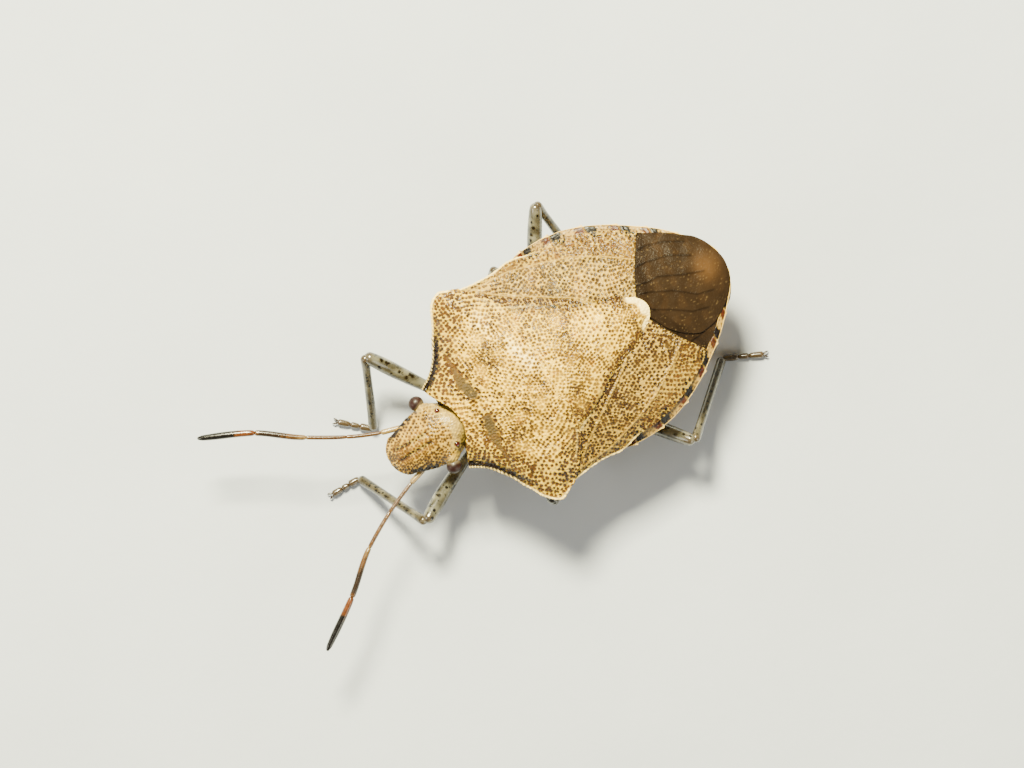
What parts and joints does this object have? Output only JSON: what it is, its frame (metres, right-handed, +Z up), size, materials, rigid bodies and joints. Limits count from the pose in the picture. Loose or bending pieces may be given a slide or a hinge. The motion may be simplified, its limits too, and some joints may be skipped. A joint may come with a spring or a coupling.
{
  "type": "shield bug",
  "caption": "Still life-size shield bug with a broad pronotum, triangular scutellum, folded wings, jointed legs and long antennae, standing on its feet.",
  "frame": {"origin": "under the middle of the bounding box, on the surface that the feet stand on", "axes": "+Z up from the floor to the back, -Y toward the head, +X toward the bug's left side"},
  "size_m": [0.009, 0.0168, 0.0046],
  "materials": {
    "tan": "tan cuticle with dark brown punctures, satin",
    "wing": "tan leathery wing with dark punctures, satin",
    "membrane": "dark brown wing membrane, semi-gloss",
    "belly": "pale yellowish-brown cuticle, satin",
    "limb": "brown and grey dotted cuticle, satin",
    "eye": "dark reddish-brown, glossy"
  },
  "bodies": {
    "root": {"head": "tan", "eye_left": "eye", "eye_right": "eye", "antenna_left": "limb", "antenna_right": "limb", "beak": "limb", "pronotum": "tan", "scutellum": "tan", "corium_left": "wing", "corium_right": "wing", "membrane_left": "membrane", "membrane_right": "membrane", "thorax": "belly", "abdomen": "belly", "leg_front_left": "limb", "leg_front_right": "limb", "leg_mid_left": "limb", "leg_mid_right": "limb", "leg_hind_left": "limb", "leg_hind_right": "limb"}
  },
  "joints": []
}
